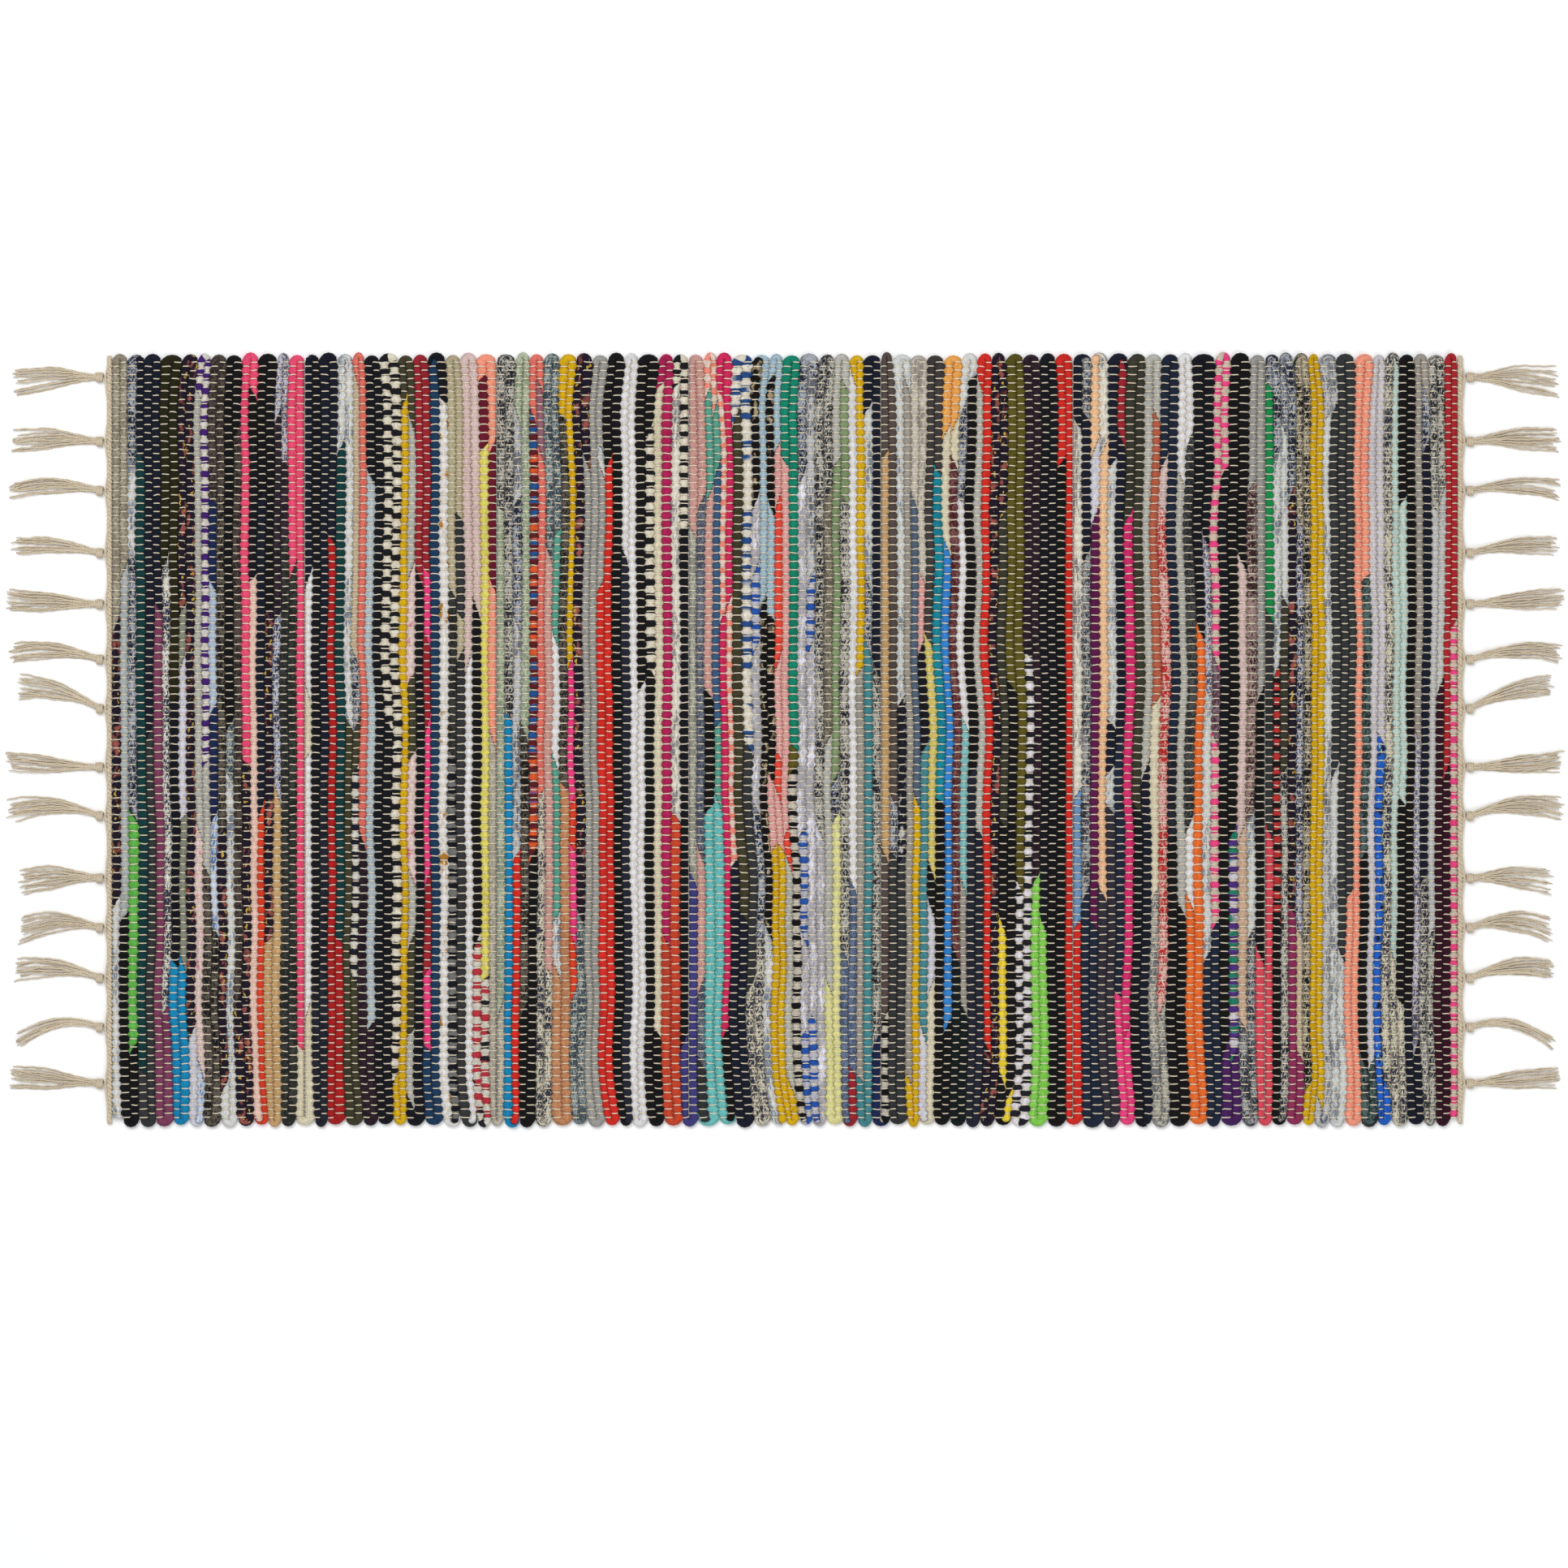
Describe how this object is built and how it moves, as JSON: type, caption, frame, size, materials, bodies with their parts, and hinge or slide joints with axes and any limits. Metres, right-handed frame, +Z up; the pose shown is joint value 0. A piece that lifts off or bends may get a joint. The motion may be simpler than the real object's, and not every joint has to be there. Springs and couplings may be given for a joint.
{
  "type": "runner rug",
  "caption": "Flat-woven runner rug of mixed cotton rag strips on a cream cotton warp, with a twined heading and a row of knotted tassels at each end.",
  "frame": {"origin": "middle of the underside, on the floor", "axes": "+X along the rug's length towards the right fringe, +Y across its width, +Z up out of the walking face"},
  "size_m": [1.2, 0.5954, 0.007],
  "materials": {
    "navy_grey_rag": "cut rag strip, beaten into ribs, with cream cotton warps over every second pick",
    "heather_print_rag": "cut rag strip, beaten into ribs, with cream cotton warps over every second pick",
    "coral_pink_rag": "cut rag strip, beaten into ribs, with cream cotton warps over every second pick",
    "navy_rag": "cut rag strip, beaten into ribs, with cream cotton warps over every second pick",
    "mustard_check_rag": "cut rag strip, beaten into ribs, with cream cotton warps over every second pick",
    "pale_pink_rag": "cut rag strip, beaten into ribs, with cream cotton warps over every second pick",
    "sage_rag": "cut rag strip, beaten into ribs, with cream cotton warps over every second pick",
    "purple_print_rag": "cut rag strip, beaten into ribs, with cream cotton warps over every second pick",
    "cream_rag": "cut rag strip, beaten into ribs, with cream cotton warps over every second pick",
    "dusty_pink_rag": "cut rag strip, beaten into ribs, with cream cotton warps over every second pick",
    "emerald_rag": "cut rag strip, beaten into ribs, with cream cotton warps over every second pick",
    "grey_heather_rag": "cut rag strip, beaten into ribs, with cream cotton warps over every second pick",
    "taupe_rag": "cut rag strip, beaten into ribs, with cream cotton warps over every second pick",
    "red_rag": "cut rag strip, beaten into ribs, with cream cotton warps over every second pick",
    "olive_rag": "cut rag strip, beaten into ribs, with cream cotton warps over every second pick",
    "peach_rag": "cut rag strip, beaten into ribs, with cream cotton warps over every second pick",
    "olive_grey_rag": "cut rag strip, beaten into ribs, with cream cotton warps over every second pick",
    "hot_pink_rag": "cut rag strip, beaten into ribs, with cream cotton warps over every second pick",
    "denim_rag": "cut rag strip, beaten into ribs, with cream cotton warps over every second pick",
    "neon_coral_rag": "cut rag strip, beaten into ribs, with cream cotton warps over every second pick",
    "mint_grey_rag": "cut rag strip, beaten into ribs, with cream cotton warps over every second pick",
    "cotton_warp": "unbleached two-ply cotton yarn, twisted, matt, with frayed ends"
  },
  "bodies": {
    "panel_1": {"woven_band_01": "navy_grey_rag", "woven_band_02": "heather_print_rag", "woven_band_03": "coral_pink_rag", "heading_left": "cotton_warp"},
    "panel_2": {"woven_band_04": "navy_rag", "woven_band_05": "mustard_check_rag", "woven_band_06": "pale_pink_rag"},
    "panel_3": {"woven_band_07": "sage_rag", "woven_band_08": "purple_print_rag", "woven_band_09": "cream_rag"},
    "panel_4": {"woven_band_10": "dusty_pink_rag", "woven_band_11": "emerald_rag", "woven_band_12": "grey_heather_rag"},
    "panel_5": {"woven_band_13": "taupe_rag", "woven_band_14": "red_rag", "woven_band_15": "olive_rag"},
    "panel_6": {"woven_band_16": "peach_rag", "woven_band_17": "olive_grey_rag", "woven_band_18": "hot_pink_rag"},
    "panel_7": {"woven_band_19": "denim_rag", "woven_band_20": "neon_coral_rag", "woven_band_21": "mint_grey_rag", "heading_right": "cotton_warp"},
    "tassel_left_01": {"tassel_left_01": "cotton_warp"},
    "tassel_left_02": {"tassel_left_02": "cotton_warp"},
    "tassel_left_03": {"tassel_left_03": "cotton_warp"},
    "tassel_left_04": {"tassel_left_04": "cotton_warp"},
    "tassel_left_05": {"tassel_left_05": "cotton_warp"},
    "tassel_left_06": {"tassel_left_06": "cotton_warp"},
    "tassel_left_07": {"tassel_left_07": "cotton_warp"},
    "tassel_left_08": {"tassel_left_08": "cotton_warp"},
    "tassel_left_09": {"tassel_left_09": "cotton_warp"},
    "tassel_left_10": {"tassel_left_10": "cotton_warp"},
    "tassel_left_11": {"tassel_left_11": "cotton_warp"},
    "tassel_left_12": {"tassel_left_12": "cotton_warp"},
    "tassel_left_13": {"tassel_left_13": "cotton_warp"},
    "tassel_left_14": {"tassel_left_14": "cotton_warp"},
    "tassel_right_01": {"tassel_right_01": "cotton_warp"},
    "tassel_right_02": {"tassel_right_02": "cotton_warp"},
    "tassel_right_03": {"tassel_right_03": "cotton_warp"},
    "tassel_right_04": {"tassel_right_04": "cotton_warp"},
    "tassel_right_05": {"tassel_right_05": "cotton_warp"},
    "tassel_right_06": {"tassel_right_06": "cotton_warp"},
    "tassel_right_07": {"tassel_right_07": "cotton_warp"},
    "tassel_right_08": {"tassel_right_08": "cotton_warp"},
    "tassel_right_09": {"tassel_right_09": "cotton_warp"},
    "tassel_right_10": {"tassel_right_10": "cotton_warp"},
    "tassel_right_11": {"tassel_right_11": "cotton_warp"},
    "tassel_right_12": {"tassel_right_12": "cotton_warp"},
    "tassel_right_13": {"tassel_right_13": "cotton_warp"},
    "tassel_right_14": {"tassel_right_14": "cotton_warp"}
  },
  "joints": [
    {"name": "bend_3_4", "type": "hinge", "parent": "panel_4", "child": "panel_3", "pos_m": [-0.07392, 0, 0.0035], "axis": [0, 1, 0], "range_deg": [-45, 45]},
    {"name": "bend_4_5", "type": "hinge", "parent": "panel_4", "child": "panel_5", "pos_m": [0.07392, 0, 0.0035], "axis": [0, -1, 0], "range_deg": [-45, 45]},
    {"name": "bend_2_3", "type": "hinge", "parent": "panel_3", "child": "panel_2", "pos_m": [-0.22176, 0, 0.0035], "axis": [0, 1, 0], "range_deg": [-45, 45]},
    {"name": "bend_5_6", "type": "hinge", "parent": "panel_5", "child": "panel_6", "pos_m": [0.22176, 0, 0.0035], "axis": [0, -1, 0], "range_deg": [-45, 45]},
    {"name": "bend_1_2", "type": "hinge", "parent": "panel_2", "child": "panel_1", "pos_m": [-0.3696, 0, 0.0035], "axis": [0, 1, 0], "range_deg": [-45, 45]},
    {"name": "bend_6_7", "type": "hinge", "parent": "panel_6", "child": "panel_7", "pos_m": [0.3696, 0, 0.0035], "axis": [0, -1, 0], "range_deg": [-45, 45]},
    {"name": "swing_left_01", "type": "hinge", "parent": "panel_1", "child": "tassel_left_01", "pos_m": [-0.52754, 0.27893, 0.0035], "axis": [0, 1, 0], "range_deg": [-110, 110]},
    {"name": "swing_left_02", "type": "hinge", "parent": "panel_1", "child": "tassel_left_02", "pos_m": [-0.52754, 0.22946, 0.0035], "axis": [0, 1, 0], "range_deg": [-110, 110]},
    {"name": "swing_left_03", "type": "hinge", "parent": "panel_1", "child": "tassel_left_03", "pos_m": [-0.52754, 0.19161, 0.0035], "axis": [0, 1, 0], "range_deg": [-110, 110]},
    {"name": "swing_left_04", "type": "hinge", "parent": "panel_1", "child": "tassel_left_04", "pos_m": [-0.52754, 0.14364, 0.0035], "axis": [0, 1, 0], "range_deg": [-110, 110]},
    {"name": "swing_left_05", "type": "hinge", "parent": "panel_1", "child": "tassel_left_05", "pos_m": [-0.52754, 0.1043, 0.0035], "axis": [0, 1, 0], "range_deg": [-110, 110]},
    {"name": "swing_left_06", "type": "hinge", "parent": "panel_1", "child": "tassel_left_06", "pos_m": [-0.52754, 0.06169, 0.0035], "axis": [0, 1, 0], "range_deg": [-110, 110]},
    {"name": "swing_left_07", "type": "hinge", "parent": "panel_1", "child": "tassel_left_07", "pos_m": [-0.52754, 0.02384, 0.0035], "axis": [0, 1, 0], "range_deg": [-110, 110]},
    {"name": "swing_left_08", "type": "hinge", "parent": "panel_1", "child": "tassel_left_08", "pos_m": [-0.52754, -0.02116, 0.0035], "axis": [0, 1, 0], "range_deg": [-110, 110]},
    {"name": "swing_left_09", "type": "hinge", "parent": "panel_1", "child": "tassel_left_09", "pos_m": [-0.52754, -0.05871, 0.0035], "axis": [0, 1, 0], "range_deg": [-110, 110]},
    {"name": "swing_left_10", "type": "hinge", "parent": "panel_1", "child": "tassel_left_10", "pos_m": [-0.52754, -0.10668, 0.0035], "axis": [0, 1, 0], "range_deg": [-110, 110]},
    {"name": "swing_left_11", "type": "hinge", "parent": "panel_1", "child": "tassel_left_11", "pos_m": [-0.52754, -0.14483, 0.0035], "axis": [0, 1, 0], "range_deg": [-110, 110]},
    {"name": "swing_left_12", "type": "hinge", "parent": "panel_1", "child": "tassel_left_12", "pos_m": [-0.52754, -0.18357, 0.0035], "axis": [0, 1, 0], "range_deg": [-110, 110]},
    {"name": "swing_left_13", "type": "hinge", "parent": "panel_1", "child": "tassel_left_13", "pos_m": [-0.52754, -0.22141, 0.0035], "axis": [0, 1, 0], "range_deg": [-110, 110]},
    {"name": "swing_left_14", "type": "hinge", "parent": "panel_1", "child": "tassel_left_14", "pos_m": [-0.52754, -0.26462, 0.0035], "axis": [0, 1, 0], "range_deg": [-110, 110]},
    {"name": "swing_right_01", "type": "hinge", "parent": "panel_7", "child": "tassel_right_01", "pos_m": [0.52754, 0.27893, 0.0035], "axis": [0, -1, 0], "range_deg": [-110, 110]},
    {"name": "swing_right_02", "type": "hinge", "parent": "panel_7", "child": "tassel_right_02", "pos_m": [0.52754, 0.22946, 0.0035], "axis": [0, -1, 0], "range_deg": [-110, 110]},
    {"name": "swing_right_03", "type": "hinge", "parent": "panel_7", "child": "tassel_right_03", "pos_m": [0.52754, 0.19161, 0.0035], "axis": [0, -1, 0], "range_deg": [-110, 110]},
    {"name": "swing_right_04", "type": "hinge", "parent": "panel_7", "child": "tassel_right_04", "pos_m": [0.52754, 0.14364, 0.0035], "axis": [0, -1, 0], "range_deg": [-110, 110]},
    {"name": "swing_right_05", "type": "hinge", "parent": "panel_7", "child": "tassel_right_05", "pos_m": [0.52754, 0.1043, 0.0035], "axis": [0, -1, 0], "range_deg": [-110, 110]},
    {"name": "swing_right_06", "type": "hinge", "parent": "panel_7", "child": "tassel_right_06", "pos_m": [0.52754, 0.06169, 0.0035], "axis": [0, -1, 0], "range_deg": [-110, 110]},
    {"name": "swing_right_07", "type": "hinge", "parent": "panel_7", "child": "tassel_right_07", "pos_m": [0.52754, 0.02384, 0.0035], "axis": [0, -1, 0], "range_deg": [-110, 110]},
    {"name": "swing_right_08", "type": "hinge", "parent": "panel_7", "child": "tassel_right_08", "pos_m": [0.52754, -0.02116, 0.0035], "axis": [0, -1, 0], "range_deg": [-110, 110]},
    {"name": "swing_right_09", "type": "hinge", "parent": "panel_7", "child": "tassel_right_09", "pos_m": [0.52754, -0.05871, 0.0035], "axis": [0, -1, 0], "range_deg": [-110, 110]},
    {"name": "swing_right_10", "type": "hinge", "parent": "panel_7", "child": "tassel_right_10", "pos_m": [0.52754, -0.10668, 0.0035], "axis": [0, -1, 0], "range_deg": [-110, 110]},
    {"name": "swing_right_11", "type": "hinge", "parent": "panel_7", "child": "tassel_right_11", "pos_m": [0.52754, -0.14483, 0.0035], "axis": [0, -1, 0], "range_deg": [-110, 110]},
    {"name": "swing_right_12", "type": "hinge", "parent": "panel_7", "child": "tassel_right_12", "pos_m": [0.52754, -0.18357, 0.0035], "axis": [0, -1, 0], "range_deg": [-110, 110]},
    {"name": "swing_right_13", "type": "hinge", "parent": "panel_7", "child": "tassel_right_13", "pos_m": [0.52754, -0.22141, 0.0035], "axis": [0, -1, 0], "range_deg": [-110, 110]},
    {"name": "swing_right_14", "type": "hinge", "parent": "panel_7", "child": "tassel_right_14", "pos_m": [0.52754, -0.26462, 0.0035], "axis": [0, -1, 0], "range_deg": [-110, 110]}
  ]
}
